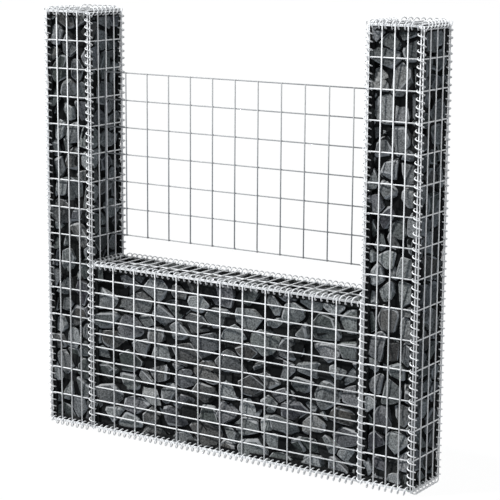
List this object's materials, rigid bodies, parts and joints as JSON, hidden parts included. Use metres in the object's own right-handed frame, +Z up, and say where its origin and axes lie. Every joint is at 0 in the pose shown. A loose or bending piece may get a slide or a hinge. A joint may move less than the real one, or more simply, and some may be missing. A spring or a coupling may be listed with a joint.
{
  "type": "gabion wall",
  "caption": "Free-standing gabion wall: tall stone-filled mesh posts joined by a low stone-filled wall and an open wire screen, edges bound by wire spirals",
  "frame": {"origin": "Bottom centre of the bounding box, on the ground under the middle of the wall", "axes": "+X along the wall to the right post, +Y from the front to the back, +Z up"},
  "size_m": [1.5334, 0.2184, 1.5383],
  "materials": {
    "galvanised_wire": "galvanised",
    "stone": "rough broken"
  },
  "bodies": {
    "root": {"left_post_back_inner_spiral": "galvanised_wire", "left_post_back_mesh": "galvanised_wire", "left_post_back_outer_spiral": "galvanised_wire", "left_post_bottom_mesh": "galvanised_wire", "left_post_bottom_spirals": "galvanised_wire", "left_post_front_inner_spiral": "galvanised_wire", "left_post_front_mesh": "galvanised_wire", "left_post_front_outer_spiral": "galvanised_wire", "left_post_inner_mesh": "galvanised_wire", "left_post_outer_mesh": "galvanised_wire", "left_post_stone_fill": "stone", "left_post_top_mesh": "galvanised_wire", "left_post_top_spirals": "galvanised_wire", "right_post_back_inner_spiral": "galvanised_wire", "right_post_back_mesh": "galvanised_wire", "right_post_back_outer_spiral": "galvanised_wire", "right_post_bottom_mesh": "galvanised_wire", "right_post_bottom_spirals": "galvanised_wire", "right_post_front_inner_spiral": "galvanised_wire", "right_post_front_mesh": "galvanised_wire", "right_post_front_outer_spiral": "galvanised_wire", "right_post_inner_mesh": "galvanised_wire", "right_post_outer_mesh": "galvanised_wire", "right_post_stone_fill": "stone", "right_post_top_mesh": "galvanised_wire", "right_post_top_spirals": "galvanised_wire", "screen_mesh": "galvanised_wire", "wall_back_mesh": "galvanised_wire", "wall_bottom_back_spiral": "galvanised_wire", "wall_bottom_front_spiral": "galvanised_wire", "wall_bottom_mesh": "galvanised_wire", "wall_front_mesh": "galvanised_wire", "wall_left_end_spiral": "galvanised_wire", "wall_right_end_spiral": "galvanised_wire", "wall_stone_fill": "stone", "wall_top_back_spiral": "galvanised_wire", "wall_top_front_spiral": "galvanised_wire", "wall_top_mesh": "galvanised_wire"}
  },
  "joints": []
}
